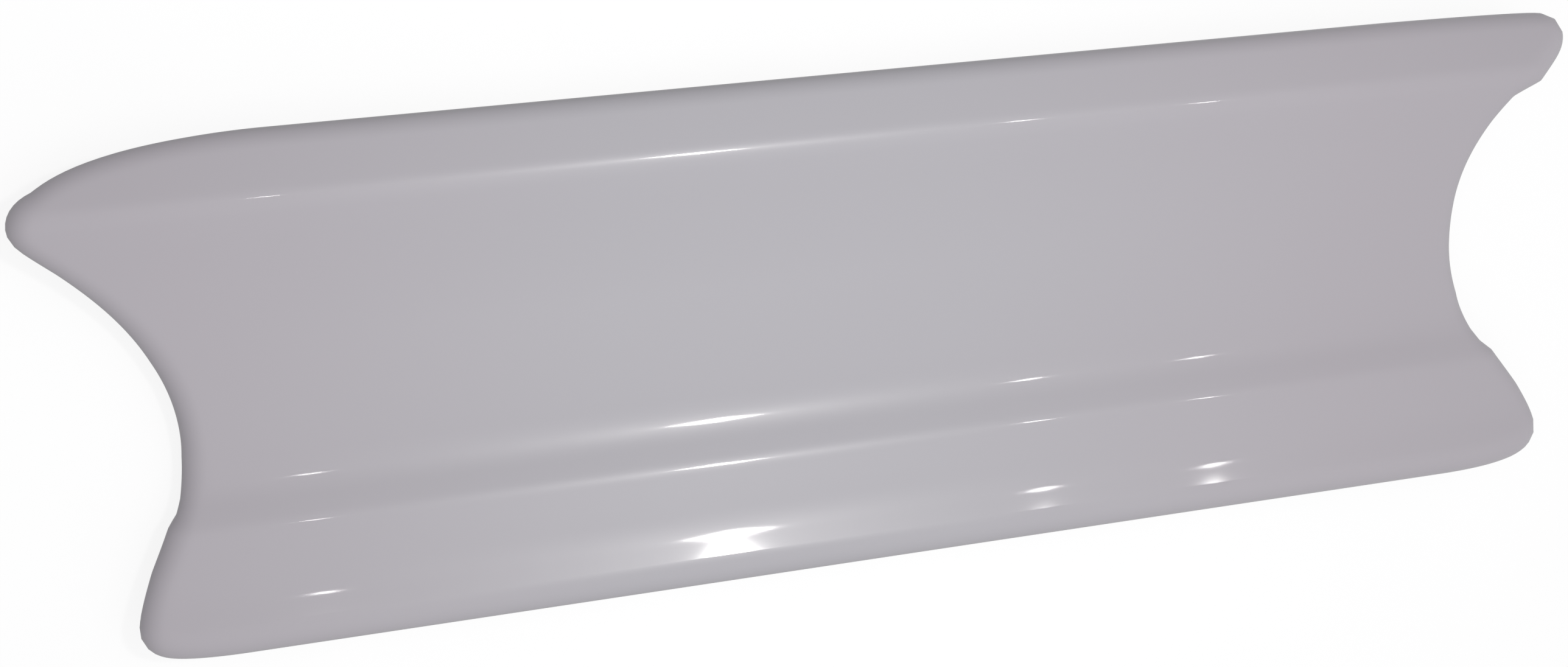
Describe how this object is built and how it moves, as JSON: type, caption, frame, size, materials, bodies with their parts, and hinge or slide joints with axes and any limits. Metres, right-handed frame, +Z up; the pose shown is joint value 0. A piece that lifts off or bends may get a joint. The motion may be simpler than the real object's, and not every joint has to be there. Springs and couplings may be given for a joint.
{
  "type": "diving board",
  "caption": "Glossy moulded diving board with a dished deck, a raised back rim and hollowed ends with rounded horns, over a timber core, fastened from below.",
  "frame": {"origin": "centre of the underside of the fulcrum pad, on the plane that the board rests on", "axes": "+X along the board towards its right end, +Y across it towards the raised back rim, +Z up"},
  "size_m": [1.8308, 0.5732, 0.1223],
  "materials": {
    "gelcoat": "gloss",
    "laminate": "satin",
    "sealant": "matte",
    "softwood": "matte",
    "plywood": "matte",
    "foam": "matte",
    "plate_steel": "satin",
    "inner_steel": "satin",
    "screw_steel": "satin",
    "pad_rubber": "matte",
    "plug_plastic": "satin"
  },
  "bodies": {
    "root": {"deck_shell": "gelcoat", "under_panel": "laminate", "sealant_bead": "sealant", "core_plank_back": "softwood", "core_plank_middle": "softwood", "core_plank_front": "softwood", "rim_stringer_back": "softwood", "rim_stringer_front": "softwood", "rim_gussets": "plywood", "end_block_left": "softwood", "end_block_right": "softwood", "horn_foam": "foam", "anchor_top_plate": "inner_steel", "anchor_bottom_plate": "plate_steel", "anchor_sleeves": "inner_steel", "anchor_nuts": "inner_steel", "anchor_pad": "pad_rubber", "fulcrum_plate": "plate_steel", "fulcrum_pad": "pad_rubber", "plate_screws": "screw_steel", "panel_screws": "screw_steel", "vent_plug": "plug_plastic"}
  },
  "joints": []
}
